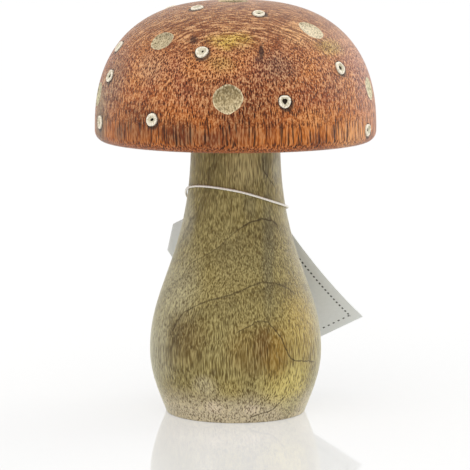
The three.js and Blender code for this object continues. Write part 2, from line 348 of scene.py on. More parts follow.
# bare mango wood, sanded and waxed: olive brown, with dark open vessels, wavy growth lines and grey
# stain; real vessels are 0.15 mm wide, too fine to show, so both woods have grain twice as coarse
bareWood = {
    "ground": "#8c7a40",
    "pale": "#cbbd84",
    "vessel": "#45330c",
    "line": "#3d2d12",
    "shadow": "#54400f",
    "clouds": (18 * mm, 18 * mm, 3),  # width, length and detail
    "cloudTone": ("#7a704a",),
    # chalky end grain at the foot: its colour, two heights, and its share at each
    "tones": [("#c6b8a0", 3 * mm, 15 * mm, 0.85, 0)],
    "bend": (14 * mm, 0.9 * mm),  # size and reach of the wander
    "patchBend": (8 * mm, 0.8 * mm),
    "ringBend": (1.2 * mm, 0.2 * mm),
    "crackBend": (1.3 * mm, 0.5 * mm),
    "fibres": (0.29 * mm, 3.4 * mm),  # width and length
    "vessels": (0.62 * mm, 6 * mm, 0.9),  # spacing, length and how unevenly they stand
    "vesselEdge": (0.21, 0.35, 0.6, 0),  # two distances from a vessel, and its depth at each
    "ridgeShare": 0.25,
    "grainSteps": (0.36, 0.5, 0.7),
    "neckGrain": (62 * mm, 80 * mm, 0.74, 0.42),  # two heights, and the shade of the grain at each
    "paleLift": 1.9,
    "paleShare": 0.6,
    "surface": {
        "Roughness": 0.4, "IOR": 1.45, "Specular IOR Level": 0.25,
        "Sheen Weight": 1, "Sheen Roughness": 0.3, "Sheen Tint": hexColour("#e4e4d0"),
    },
    "bump": (0.6, 0.12 * mm),
    "rings": {
        "heart": (-4.2 * mm, 5 * mm),
        "lines": [8 * mm, 13.5 * mm, 19.5 * mm, 25.4 * mm, 31.8 * mm, 41.5 * mm],
        "lineWidth": 0.11 * mm,
        "shade": 0.3,
        "fade": 2.2 * mm,
        "reach": 60 * mm,
    },
    "ringGaps": (0.38, 0.5, 0.3, 1),  # cloud levels between which the rings go from faint to full
    "ringHeights": (14 * mm, 24 * mm, 0, 0.95),  # below this the chalky foot hides the rings
    # middle and half sizes in mm, colour, strength
    "patches": [
        # this patch and the next: a lighter, greyer left side, partly greyer wood and partly a painted
        # highlight
        ((-24, -18, 48), (16, 20, 30), "#a29a7c", 0.8),
        ((-28, -14, 24), (12, 20, 18), "#979078", 0.8),
        ((24, -19, 34), (13, 18, 21), "#a38a45", 0.9),
        ((19, -23, 14), (17, 14, 12), "#c6b469", 0.85),
        ((4, -31, 28), (11, 8, 13), "#7a6029", 0.75),
        ((-17, -25, 30), (11, 12, 14), "#675229", 0.85),
        ((14.5, -28, 26), (9, 9, 15), "#86631a", 0.9),
        ((9.6, -29, 29), (4.8, 7, 9.5), "#5e3d10", 0.85),
        ((6.4, -30.5, 22), (4.4, 5, 7), "#5f4718", 0.65),
        ((-21.5, -21, 33), (5, 8, 9), "#4c3a1b", 0.85),
        ((-23.4, -20.5, 25), (4, 8, 9), "#63532f", 0.5),
        ((11.7, -18, 62), (3.6, 30, 36), "#615a42", 0.75),
        # lighter front of the neck just below the cap: painted light over the cap's shade
        ((3, -16, 91), (10, 6, 11), "#b7a675", 0.6),
        ((10.5, -13, 92), (2.4, 6, 8), "#5a5540", 0.75),
        # a painted highlight along the right edge of the neck
        ((14.5, -8, 90), (3, 6, 9), "#969177", 0.7),
        ((-9, -13, 88), (6, 6, 16), "#71602f", 0.5),
        ((5.5, -17, 78), (4, 5, 9), "#5f563c", 0.6),
        # a painted highlight along the left edge of the neck
        ((-17, -7, 70), (5, 10, 14), "#a6a18c", 0.65),
        ((-11, -28, 14), (7, 6, 6), "#b9ad8e", 0.6),
        ((-1, -30, 13.5), (6, 6, 6), "#98874f", 0.7),
        ((21, -19, 5), (8, 10, 7), "#a69c72", 0.7),
        ((-8, -26, 6), (5, 6, 3.5), "#d8c6b0", 0.6),
        ((6, -26, 5), (4, 6, 3), "#d6c4ae", 0.6),
        ((-7.9, -30, 19.6), (2, 3, 2.2), "#4a3b1f", 0.75),
    ],
    # cracks and dark growth lines: half width in mm, strength, and points on the surface in mm
    "cracks": [
        (0.36, 0.7, [
            (0.3, -30.3, 33.6), (2.8, -29.9, 35), (5.2, -29.3, 36), (7, -28.6, 37.3), (9.5, -27.8, 37.5),
            (11.7, -27.1, 37.1),
        ]),
        (0.44, 0.85, [
            (11.7, -27.1, 37.1), (13.1, -26.9, 35.2), (14.9, -26.5, 33), (16.3, -26, 31.1),
            (17.4, -25.7, 28.5), (18.5, -25.1, 25.9), (19.6, -24.4, 23.6), (21.4, -22.8, 22.2),
        ]),
        (0.4, 0.7, [(21.4, -22.8, 22.2), (24, -20.1, 21.7), (26.2, -17.1, 21.2), (28.5, -12.7, 20)]),
        (0.42, 0.8, [
            (17.8, -22.8, 9.9), (16, -23.1, 7.4), (13.2, -23.6, 4.6), (9.6, -24.9, 3.7), (5.3, -25.7, 2.4),
        ]),
        (0.4, 0.8, [(9.9, -12.9, 94.2), (9.9, -13.1, 89.9), (11.8, -11.8, 86.8), (14.3, -9.3, 82.9)]),
        (0.36, 0.55, [
            (-16.2, -16.4, 56.4), (-12.6, -18.4, 58.8), (-9, -19.7, 60.8), (-5.4, -20.2, 63.4),
            (-1.9, -19.8, 66.9), (1.7, -19.2, 69.7),
        ]),
        (0.48, 0.85, [
            (1.7, -19.2, 69.7), (5.3, -18.1, 71.7), (9.6, -16, 72.6), (13.2, -13.5, 71.5), (15, -12, 69.9),
        ]),
        (0.44, 0.7, [
            (-22.6, -20.4, 32.3), (-21.2, -20.9, 36), (-18.3, -22.2, 39.9), (-14.3, -24, 42.3),
            (-10, -25.4, 44.3), (-5.4, -26.3, 45.6), (-1.1, -26.4, 47), (2.8, -25.8, 48.4),
            (5.3, -24.9, 49.7), (9.5, -23.1, 50.8), (14.2, -20.9, 50.1), (17.8, -18.8, 48.4),
            (21.5, -16.3, 45.5),
        ]),
    ],
}


def makeBareWood(wood):
    material, tree, plain = newMaterial("bare mango wood, sanded and waxed")
    ground, coords, cloud, wavy, height = woodGround(tree, plain, wood)
    rings = ringPattern(tree, wanderingCoords(tree, wavy, *wood["ringBend"]), wood["rings"])
    shares = shareOf(tree, cloud, *wood["ringGaps"]), shareOf(tree, height, *wood["ringHeights"])
    ringDepth = combine(tree, "MULTIPLY", (rings, *shares))
    grain = dict(wood)  # the slim neck shows quieter grain than the belly
    grain["grainShade"] = shareOf(tree, height, *wood["neckGrain"])
    colour, relief = woodGrain(tree, coords, ground, grain)
    colour = layColour(tree, colour, ringDepth, wood["line"])
    ragged = wanderingCoords(tree, plain, *wood["crackBend"])
    for width, strength, run in wood["cracks"]:
        for start, end in zip(run, run[1:]):
            patch = crackPatch(start, end, width, strength, wood["line"])
            colour = paintPatch(tree, ragged, colour, *patch)
    finishMaterial(tree, colour, relief, wood)
    return material


# stained mango wood, rubbed back and waxed: the stain lies dark in the vessels, thin over the end grain
stainedWood = {
    "ground": "#b3692f",
    "pale": "#d9b586",
    "vessel": "#2b1002",
    "shadow": "#652a0b",
    "clouds": (12 * mm, 12 * mm, 3),
    "cloudTone": ("#98502e", 0.36, 0.64),  # comes in between these levels of the clouds
    # the pale crown, greyer as a painted sheen of the light from above; the orange band; and the redder
    # lower edge, darker as painted shade where the rim turns under
    "tones": [
        ("#a8744a", 128 * mm, 144 * mm, 0, 0.8), ("#bb681e", 104 * mm, 121 * mm, 0.85, 0),
        ("#98502e", 99.5 * mm, 103.5 * mm, 0.7, 0),
    ],
    "bend": (14 * mm, 0.8 * mm),
    "patchBend": (5 * mm, 1.8 * mm),
    "markBend": (1.5 * mm, 0.5 * mm),
    "fibres": (0.34 * mm, 2.4 * mm),
    "vessels": (0.56 * mm, 12 * mm, 0.8),
    "vesselEdge": (0.2, 0.34, 0.95, 0),
    "ridgeShare": 0.7,
    "shortened": (108 * mm, 150 * mm, 2.4),  # marks are shorter between two heights, and by how much
    "layerSize": (4 * mm, 0.7 * mm, 30 * mm),
    "grainSteps": (0.4, 0.55, 0.76),
    "paleLift": 2,
    "grainShade": 0.75,
    # the low wall shows the fibres from the side, and the crown shows the growth layers
    "grainHeights": {
        "paleShare": (104 * mm, 122 * mm, 0.4, 0.9), "layerShare": (130 * mm, 140 * mm, 0, 0.6),
    },
    # long dark pores, only in the low wall
    "pores": (1.25 * mm, 20 * mm, 0.8),
    "poreEdge": (0.17, 0.34, 1, 0),
    "poreHeights": (108 * mm, 114 * mm, 0.85, 0),
    "stainAndShadow": ("#1f150c", 2.45 * mm, 3.5 * mm, 0.78, 0),  # dark round each peg, by distance: partly stain caught there, partly painted shadow
    # moves each peg's dark ring along and down the dome, so that it lies below the raised peg as a painted
    # shadow
    "shadowShift": (0.3 * mm, -0.45 * mm, 0),
    "surface": {
        "Roughness": 0.38, "IOR": 1.45, "Specular IOR Level": 0.25,
        "Sheen Weight": 0.1, "Sheen Roughness": 0.25,
    },
    "bump": (0.8, 0.2 * mm),
    # middle and half sizes in mm, colour, strength
    "patches": [
        ((2, -48, 121), (28, 14, 9), "#7e3e1b", 0.7),
        ((15, -44, 129), (12, 9, 8), "#7a5140", 0.8),
        ((-2, -39, 137.6), (11.5, 9, 4.6), "#c4a040", 0.85),
        ((-5, -44, 130), (7, 8, 5), "#a87d38", 0.7),
        ((33, -26, 134.5), (14, 10, 4.5), "#ac8d42", 0.8),
        ((-19, -47, 106), (12, 9, 7), "#522413", 0.8),
        ((-40.4, -30.9, 104.8), (6, 6, 5), "#5b3222", 0.75),
        ((-8.7, -50, 104), (7, 6, 5), "#5b2814", 0.75),
        ((12, -49, 108), (5, 6, 7), "#6f3115", 0.5),
        ((28.7, -41.9, 103), (7, 6, 4), "#74371c", 0.6),
        ((27, -42, 111), (12, 10, 6), "#c98349", 0.6),
        ((-34, -38, 109), (18, 14, 11), "#763c1a", 0.8),
        # greyer brown at the left edge: painted reflection and painted shade where the dome turns away
        ((-46, -22, 122), (14, 16, 22), "#86604a", 0.75),
        ((0, -49, 107), (14, 8, 8), "#6c3110", 0.75),
        # greyish olive at the far left edge: painted reflection and painted shade
        ((-49, -16, 109), (6, 14, 18), "#6f664c", 0.75),
        ((-30, -36, 128), (10, 12, 8), "#ad7f60", 0.6),
        ((1, -50, 115), (18, 9, 7), "#5f280e", 0.65),
        ((21, -31, 139), (9, 9, 7), "#cd9861", 0.6),
        ((42, -30, 103.5), (15, 17, 9), "#d8955a", 0.8),
        ((34, -34, 123), (8, 10, 9), "#8a4f3a", 0.6),
        ((3, -40, 134.5), (6, 6, 4), "#935c33", 0.6),
    ],
    # small dark flaws that lie over the grain, the same with a solid share
    "marks": [
        ((-14.6, -36.6, 137.8), (2.1, 4, 2.4), "#32180f", 0.8),
        ((8.9, -41.8, 134), (1.15, 6, 3.6), "#2d1712", 0.85, 0.4),
        ((7.9, -43, 131.4), (2.4, 6, 1.8), "#4a241c", 0.7),
    ],
}


def makeStainedWood(wood, stainAndShadowCentres):
    material, tree, plain = newMaterial("stained mango wood, rubbed and waxed")
    ground, coords, _, _, height = woodGround(tree, plain, wood)
    grain = dict(wood)
    for name, limits in wood["grainHeights"].items():
        grain[name] = shareOf(tree, height, *limits, "SMOOTHSTEP")
    low, high, shortening = wood["shortened"]
    plainHeight = addNode(tree, "SeparateXYZ", {"Vector": plain}, out="Z")
    rise = shareOf(tree, plainHeight, low, high, 0, (high - low) * shortening)
    raised = addNode(tree, "CombineXYZ", {"Z": rise})
    squeezed = addNode(tree, "VectorMath", (coords, raised), operation="ADD")
    colour, relief = woodGrain(tree, squeezed, ground, grain)
    ragged = wanderingCoords(tree, plain, *wood["markBend"])
    for mark in wood["marks"]:
        colour = paintPatch(tree, ragged, colour, *mark)
    pores = vesselDistance(tree, coords, *wood["pores"])
    poreDepth = combine(tree, "MULTIPLY", [
        shareOf(tree, value, *limits, "SMOOTHSTEP")
        for value, limits in ((pores, wood["poreEdge"]), (height, wood["poreHeights"]))
    ])
    colour = layColour(tree, colour, poreDepth, wood["vessel"])
    relief = addNode(tree, "Math", (relief, poreDepth), operation="SUBTRACT")
    # the dark rings round the pegs: stain, with a painted shadow below each peg
    distances = [
        addNode(tree, "VectorMath", (coords, centre), out="Value", operation="DISTANCE")
        for centre in stainAndShadowCentres
    ]
    nearest = combine(tree, "MINIMUM", distances)
    colour = layColour(tree, colour, nearest, *wood["stainAndShadow"], "SMOOTHSTEP")
    finishMaterial(tree, colour, relief, wood)
    return material


# whitewashed wood in the gouged hollows: chalky cream pooled at the lower rim, worn olive above; the
# lighter lower side is also painted light and the darker upper side painted shade
whitewash = {
    "thin": "#a18c62",
    "pale": "#e0d0ac",
    "vessel": "#4f4526",
    "shadow": "#5f5130",
    "clouds": (2.2 * mm, 2.2 * mm, 3),
    # washes up the hollow (Y) or out from its middle (X): how far the clouds move their edges, their
    # colour, the places between which they come in, and their share
    "washes": [
        # first darker olive up the hollow, worn wash with painted shade under the upper rim; then lighter
        # down it, pooled wash with painted light on the upward-facing wall; then a pale line near the rim
        # all round
        ("Y", 3, "#665530", 0, 0.8, 0, 0.85), ("Y", 3, "#c8b48c", 0, -0.9, 0, 0.8),
        ("X", 0.3, "#e8d6b0", 0.86, 0.97, 0, 0.55),
    ],
    "fibres": (0.5 * mm, 0.9 * mm),
    "vessels": (1.1 * mm, 3 * mm, 1),
    "vesselEdge": (0.16, 0.3, 0.6, 0),
    "ridgeShare": 0,
    "grainSteps": (0.36, 0.5, 0.68),
    "grainShade": 0.6,
    "paleLift": 1.7,
    "paleShare": 0.6,
    "surface": {"Roughness": 0.7, "IOR": 1.45},
    "bump": (0.7, 0.15 * mm),
    # thicker or thinner paint: middle and half sizes in mm, colour, strength, solid share
    "patches": [
        ((27.5, -27.5, 137), (11, 11, 11), "#e0d1b3", 0.95, 0.6),
        ((-26, -31, 137), (8, 8, 8), "#ddd0b4", 0.25, 0.6),
        ((47.6, -12.8, 119), (8, 8, 8), "#ddd5b4", 0.8, 0.6),
        ((-49, -8.6, 117), (8, 8, 8), "#c9c2a2", 0.8, 0.6),
    ],
}


def makeWhitewash(wood):
    material, tree, plain = newMaterial("whitewashed mango wood")
    place = addNode(tree, "SeparateXYZ", {"Vector": addNode(tree, "UVMap", {}, uv_map="hollow")}).node
    cloud = noisePattern(tree, plain, *wood["clouds"])
    drift = addNode(tree, "Math", (cloud, 0.5), operation="SUBTRACT")
    ground = hexColour(wood["thin"])
    for axis, sway, *wash in wood["washes"]:
        moved = addNode(tree, "Math", (drift, sway, place.outputs[axis]), operation="MULTIPLY_ADD")
        ground = layColour(tree, ground, moved, *wash)
    for patch in wood["patches"]:
        ground = paintPatch(tree, plain, ground, *patch)
    colour, relief = woodGrain(tree, plain, ground, wood)
    finishMaterial(tree, colour, relief, wood)
    return material


# one noise pattern, and two tones mixed by it
def mixTones(tree, coords, finish):
    fibre = noisePattern(tree, coords, *finish["fibre"])
    dark, light = finish["tones"]
    return fibre, layColour(tree, hexColour(dark), fibre, light)


def makeFibreFinish(name, finish):
    material, tree, plain = newMaterial(name)
    fibre, colour = mixTones(tree, plain, finish)
    finishMaterial(tree, colour, fibre, finish)
    return material


# the bare walls of the drilled holes: dark with stain, and dull
drilledWood = {
    "fibre": (0.5 * mm, 3 * mm),
    "tones": ("#1d110a", "#3f2616"),
    "surface": {"Roughness": 0.8, "IOR": 1.5},
}


# limewashed pegs: thick cream paint that has pooled on the rim, lighter there also as a painted highlight,
# and worn to the grain in the dish
pegPaint = {
    "dish": "#cfc7ae",
    "rim": ("#f6ecd8", 0.85, 1.1),  # a lighter rim, pooled paint with a painted highlight; comes in between these shares of the radius
    "worn": ("#a9966f", 0.48, 0.34, 0, 0.7),  # comes in between these levels of the fibre
    "fibre": (0.6 * mm, 0.6 * mm, 3),
    "unevenness": 0.6,
    "surface": {"Roughness": 0.6, "IOR": 1.5},
    "bump": (0.5, 0.15 * mm),
}

# the blind eye in a peg: bare wood gone dark
pegEye = {
    "fibre": (0.4 * mm, 0.4 * mm, 2),
    "tones": ("#20160e", "#4a3723"),
    "surface": {"Roughness": 0.8, "IOR": 1.5},
}


def makePegPaint(paint):
    material, tree, plain = newMaterial("limewashed peg")
    place = addNode(tree, "UVMap", {}, uv_map="peg")
    fromMiddle = addNode(tree, "SeparateXYZ", {"Vector": place}, out="X")
    fibre = noisePattern(tree, plain, *paint["fibre"])
    uneven = addNode(tree, "Math", (fibre, paint["unevenness"], fromMiddle), operation="MULTIPLY_ADD")
    # the rim lighter than the dish: pooled paint and a painted highlight
    colour = layColour(tree, hexColour(paint["dish"]), uneven, *paint["rim"])
    colour = layColour(tree, colour, fibre, *paint["worn"])
    finishMaterial(tree, colour, fibre, paint)
    return material


# bleached cotton, two plies twisted together: a soft white with a little fluff
cottonThread = {
    "fibre": (0.15 * mm, 0.15 * mm, 2),
    "tones": ("#efe9dc", "#fefcf6"),
    "surface": {"Roughness": 0.9, "IOR": 1.5, "Sheen Weight": 0.3},
    "bump": (0.4, 0.05 * mm),
}
cotton = makeFibreFinish("twisted cotton thread", cottonThread)


# tag: a bowed card with clipped corners and a punched hole; its frame also places the thread
tagShape = {
    "width": 47 * mm,
    "length": 71 * mm,
    "thickness": 0.5 * mm,
    "clip": 7.8 * mm,
    "bowRadius": 130 * mm,
    "holeRadius": 2 * mm,
    "holeInset": 6 * mm,
    "hole": Vector((-7.7, 26.206, 66.7)) * mm,
    "turn": -17.2,  # the three angles in degrees
    "lean": 15.3,
    "swing": -28.3,
    "edge": 0.1 * mm,
    "edgeSegments": 2,
    "edgeAngle": 60,
    "columns": 24,
    "rows": 40,
    "holeSteps": 40,
    "punchDepth": 2 * mm,
    "sharpAngle": 40,
}


# the card's own frame, as in the CAD: origin in the hole, +X across it, +Y down it, +Z out of its back
def tagFrame(tag):
    placed = Matrix.Translation(tag["hole"])
    for angle, axis in ((tag["turn"], "Z"), (tag["lean"], "X"), (tag["swing"], "Y"), (-90, "X")):
        placed = placed @ Matrix.Rotation(math.radians(angle), 4, axis)
    return placed


# thread: one cord from its knot down through the tag's hole, back through the knot and round the neck
threadShape = {
    "diameter": 0.8 * mm,
    "swell": 1.06,  # the plies stand a little prouder than the nominal radius
    "plyShare": 0.08,  # how deep the groove between the two plies is, as a share of the radius
    "sectionPoints": 12,
    "twist": 2.4 * mm,
    "step": 0.24 * mm,
    "sharpAngle": 60,
}

# the ways of the cord in mm: round the neck, and through the tag's hole in the tag's frame
neckRoute = [
    (-14, 23.3, 76), (-15.3, 16.6, 76.6), (-16.6, 9.9, 77.3), (-17.8, 3.8, 78.6), (-18, 0, 80.6),
    (-17.2, -4.6, 82.5), (-15.4, -8.9, 83.5), (-12.5, -12.5, 84), (-8.3, -15.6, 84), (-3.1, -17.5, 83.4),
    (2.5, -17.7, 82.3), (7.6, -16.4, 80.7), (12.2, -13.6, 78.9), (16, -9.2, 77.2), (18.3, -3.9, 75.7),
    (18.9, 1.6, 74.6), (17.7, 7.1, 73.9), (14.7, 12.3, 73.6), (10.5, 16.1, 73.6), (6.7, 18.2, 73.8),
    (1, 19.9, 74.2), (-5.5, 21.9, 74.8), (-12.4, 24, 75.7),
]
holeRoute = [
    (0, -9.7, -1.3), (0, -8, -1.6), (0, -6, -1.75), (0, -4.4, -1.8), (0, -3, -1.7),
    (0, -1.8, -1.2), (0, -1.3, 0), (0, -1.8, 1.2), (0, -3, 1.7), (0, -4.4, 1.8), (0, -6, 1.75),
    (0, -8, 1.4), (0, -9.6, 0.4),
]
knotPlace = (0, -11, -0.8)  # in the tag's frame too


# a smooth line through the points, with a stop about every step
def smoothLine(points, step):
    line = [points[0].copy()]
    slopes = [(after - before).normalized() for before, after in zip(points, points[2:])]
    slopes = [(points[1] - points[0]).normalized()] + slopes + [(points[-1] - points[-2]).normalized()]
    for i in range(len(points) - 1):
        start, end = points[i], points[i + 1]
        pull = (end - start).length / 3
        count = max(2, round((end - start).length / step)) + 1
        handles = start + slopes[i] * pull, end - slopes[i + 1] * pull
        line += geometry.interpolate_bezier(start, *handles, end, count)[1:]
    return line


# a section of two plies carried along lines and turned as it goes
def twistedMesh(name, lines, shape):
    radius = shape["swell"] * shape["diameter"] / 2
    section = bpy.data.curves.new(name + "Section", "CURVE")
    section.dimensions = "2D"
    ring = section.splines.new("POLY")
    ring.points.add(shape["sectionPoints"] - 1)
    ring.use_cyclic_u = True
    for i, point in enumerate(ring.points):
        angle = 2 * math.pi * i / shape["sectionPoints"]
        reach = radius * (1 - shape["plyShare"] * (1 - math.cos(2 * angle)))
        point.co = (reach * math.cos(angle), reach * math.sin(angle), 0, 1)
    curve = bpy.data.curves.new(name, "CURVE")
    curve.dimensions = "3D"
    curve.bevel_mode = "OBJECT"
    curve.bevel_object = linkObject(name + "Section", section)
    curve.use_fill_caps = True
    for line in lines:
        spline = curve.splines.new("POLY")
        spline.points.add(len(line) - 1)
        travelled = 0
        for i, point in enumerate(spline.points):
            travelled += (line[i] - line[max(i - 1, 0)]).length
            point.co = (*line[i], 1)
            point.tilt = 2 * math.pi * travelled / shape["twist"]
    mesh = takeMesh(linkObject(name, curve), curve.bevel_object)
    mesh.materials.clear()
    bm = bmesh.new()
    bm.from_mesh(mesh)
    bmesh.ops.remove_doubles(bm, verts=bm.verts, dist=weldReach)
    bmesh.ops.recalc_face_normals(bm, faces=bm.faces)
    bm.to_mesh(mesh)
    bm.free()
    return smoothShade(mesh, shape["sharpAngle"])


knotShape = {
    "radius": 0.8 * mm,
    "points": 48,
    "tailLength": 2.4 * mm,
    "tailTurn": (-0.9, 0.45, -0.35),  # of one tail; the other goes to the other side
    "tailBend": 0.4,  # where a tail bends, as a share of its length
    "tailSpread": 0.3 * mm,
    "step": 0.3 * mm,
}


# an overhand knot drawn tight, with its two cut ends
def knotLines(shape, centre):
    loop = []
    for i in range(shape["points"] + 1):
        t = 2 * math.pi * i / shape["points"]
        flat = Vector((math.sin(t) + 2 * math.sin(2 * t), math.cos(t) - 2 * math.cos(2 * t), 0)) / 3
        loop.append(centre + (flat + Vector((0, 0, -math.sin(3 * t) / 3))) * shape["radius"])
    tails = []
    for side in (-1, 1):
        x, y, z = shape["tailTurn"]
        drop = Vector((x, side * y, z)).normalized() * shape["tailLength"]
        end = centre + drop + Vector((0, shape["tailSpread"], 0))
        tails.append(smoothLine([centre, centre + drop * shape["tailBend"], end], shape["step"]))
    return [loop] + tails


hanging = tagFrame(tagShape)
knotCentre = hanging @ (Vector(knotPlace) * mm)
knot = addPiece(
    "tied_knot", twistedMesh("tied_knot", knotLines(knotShape, knotCentre), threadShape),
    "thread", ["thread_knot"], [cotton],
)
threadPoints = [hanging @ (Vector(point) * mm) for point in holeRoute]
threadPoints += [Vector(point) * mm for point in neckRoute]
threadLine = smoothLine(threadPoints, threadShape["step"])
threadLength = sum((b - a).length for a, b in zip(threadLine, threadLine[1:]))
thread = addPiece(
    "tag_thread", twistedMesh("tag_thread", [threadLine], threadShape),
    "thread", ["neck_thread", "hole_thread"], [cotton],
)
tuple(threadLine[0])
print("thread made, length in mm:", round(threadLength / mm, 1))


# stem: one curve from the foot to the belly and one from the belly to the neck
stemHigh = Vector(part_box("stem")[1])
stemShape = {
    "footRadius": 25.5 * mm,
    "footRound": 0.7 * mm,
    "roundSteps": 4,
    "bellyRadius": stemHigh.x,
    "bellyHeight": 22.8 * mm,
    "neckRadius": 16.2 * mm,
    "height": stemHigh.z,
    "footPull": 0.35,  # how far each end of a curve runs straight on, as a share of its height
    "underBellyPull": 0.34,
    "overBellyPull": 0.32,
    "neckPull": 0.55,
    "footFlare": 3 * mm,
    "boreRadius": 6.3 * mm,
    "boreDepth": 18.3 * mm,
    "curvePoints": 48,
    "spinSteps": 144,
    "sharpAngle": 35,
}


def stemOutline(s):
    foot, edge, belly, neck = s["footRadius"], s["footRound"], s["bellyRadius"], s["neckRadius"]
    middle, height = s["bellyHeight"], s["height"]
    span = height - middle
    lower = geometry.interpolate_bezier(
        (foot, edge), (foot + s["footFlare"], s["footPull"] * middle),
        (belly, (1 - s["underBellyPull"]) * middle), (belly, middle), s["curvePoints"] // 2,
    )
    upper = geometry.interpolate_bezier(
        (belly, middle), (belly, middle + s["overBellyPull"] * span),
        (neck, height - s["neckPull"] * span), (neck, height), s["curvePoints"],
    )
    footEdge = arcPoints(foot - edge, edge, edge, -90, 0, s["roundSteps"])
    bore, boreEnd = s["boreRadius"], height - s["boreDepth"]
    wall = [tuple(point)[:2] for point in lower[1:] + upper[1:]]
    return [(0, 0)] + footEdge + wall + [(bore, height), (bore, boreEnd), (0, boreEnd)]


stemMesh = toMesh(spinOutline(stemOutline(stemShape), stemShape["spinSteps"]), "turned_stem")
smoothShade(stemMesh, stemShape["sharpAngle"])
stem = addPiece(
    "turned_stem", stemMesh, "mushroom", ["stem"], [makeBareWood(bareWood)],
)
print("stem made, faces:", len(stem.data.polygons))


# cap: a rounded rim, then a dome whose radius and height follow one rounded-square formula
capLow, capHigh = [Vector(corner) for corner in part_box("cap")]
capShape = {
    "radius": capHigh.x,
    "base": capLow.z,
    "crown": 150 * mm,
    "rimRound": 4 * mm,
    "roundSteps": 10,
    "wallPower": 2.6,
    "crownPower": 2.4,
    "boreRadius": 6.3 * mm,
    "boreDepth": 18.3 * mm,
    "domePoints": 64,
    "spinSteps": 240,
    "sharpAngle": 14,
}
domeBase = capShape["base"] + capShape["rimRound"]
domeHeight = capShape["crown"] - domeBase


def domePoint(climb):
    angle = math.radians(climb)
    radius = capShape["radius"] * math.cos(angle) ** (2 / capShape["wallPower"]) if climb < 90 else 0
    return radius, domeBase + domeHeight * math.sin(angle) ** (2 / capShape["crownPower"])


# the frame of a place on the dome: +X along the dome, +Y up it and +Z straight out
def domeFrame(turn, climb):
    radius, height = domePoint(climb)
    wall, crown = capShape["wallPower"], capShape["crownPower"]
    outward = wall / capShape["radius"] * (radius / capShape["radius"]) ** (wall - 1)
    upward = crown / domeHeight * ((height - domeBase) / domeHeight) ** (crown - 1)
    angle = math.radians(turn)
    across = Vector((math.sin(angle), -math.cos(angle), 0))
    along = Vector((math.cos(angle), math.sin(angle), 0))
    out = (across * outward + Vector((0, 0, upward))).normalized()
    place = Matrix((along, out.cross(along), out)).transposed().to_4x4()
    place.translation = across * radius + Vector((0, 0, height))
    return place


pegShape = {
    "radius": 2.25 * mm,
    "length": 3.6 * mm,
    "proud": 0.5 * mm,
    "gap": 0.2 * mm,
    "flare": 0.1 * mm,
    "clearance": 0.3 * mm,  # how far the cutter of its hole stands out of the cap
    "holeMaterial": 1,
    "edgeRound": 0.5 * mm,
    "roundSteps": 4,
    "dishRadius": 1.5 * mm,
    "dishDepth": 0.4 * mm,
    "eyeDepth": 1.1 * mm,
    "eyeTaper": 0.9,
    "eyeRim": 0.3 * mm,
    "lip": 0.1 * mm,
    "footBevel": 0.2 * mm,
    "footHeight": 0.5 * mm,  # below this a peg keeps its turned shape
    "trueRim": 0.95,  # and from this share of its radius outwards too
    "roughness": 0.09 * mm,
    "lumpSize": 0.8 * mm,
    "spinSteps": 40,
    "sharpAngle": 50,
}

# hand-cut outlines, as shares of a true circle, from +X of the place anticlockwise
pegOutlines = [
    [1, 0.97, 1.06, 1.05, 0.98, 0.94, 1, 1.03, 1.08, 1, 0.93, 0.95],
    [1.08, 1.12, 0.99, 0.94, 0.98, 1.02, 0.97, 0.93, 0.99, 1.03, 0.98, 0.96],
    [0.95, 1.03, 1, 0.93, 1.02, 1.05, 0.97, 1.04, 0.98, 1.05, 1, 0.92],
    [0.96, 0.93, 1, 1.06, 1.1, 0.99, 0.92, 0.97, 1.04, 1.08, 0.99, 0.97],
]

eyeOutlines = [
    [1.3, 1.3, 1, 0.8, 0.75, 0.9, 1.25, 1.3, 1, 0.8, 0.75, 0.9],
    [0.9, 1.1, 1.3, 1.1, 0.9, 0.8, 0.8, 0.9, 1.1, 1.2, 1, 0.9],
    [1.1, 1.25, 1.2, 1, 1.2, 1.25, 1.1, 0.85, 0.95, 1.4, 0.95, 0.85],
    [1.2, 0.8, 0.9, 1.3, 0.9, 0.8, 1.2, 0.8, 0.9, 1.3, 0.9, 0.8],
]

# turn from the front towards +X, climb from the wall to the crown, outline, eye radius, eye offset
pegPlaces = [
    (-35, 6, 0, 0.6, (0.2, 0.1)), (-16, 37, 1, 0.4, (0.4, 0.25)), (20, 13.5, 2, 0.92, (-0.05, 0.15)),
    (52, 27, 3, 0.7, (0.1, 0.05)), (18, 65, 0, 0.5, (0.2, 0.1)), (-40, 71, 1, 0.4, (0, 0.1)),
    (-76, 37, 2, 0.6, (0.1, 0)), (-68, 22, 0, 0.75, (0, 0.05)), (-71.5, 3, 3, 0.5, (0.1, -0.1)),
    (67, 1, 1, 0.55, (-0.1, 0.1)), (98, 7, 2, 0.7, (0.1, 0)), (112, 28, 0, 0.5, (0.1, 0.2)),
    (142, 60, 3, 0.6, (-0.1, 0)), (150, 27, 1, 0.85, (0, 0.1)), (163, 5, 2, 0.5, (0.15, 0)),
    (-170, 20, 0, 0.7, (-0.1, 0.1)), (-148, 42, 3, 0.5, (0.1, 0)), (-124, 4, 1, 0.8, (0, -0.1)),
    (-104, 24, 2, 0.55, (0.1, 0.1)), (-112, 66, 0, 0.6, (0, 0.1)),
]

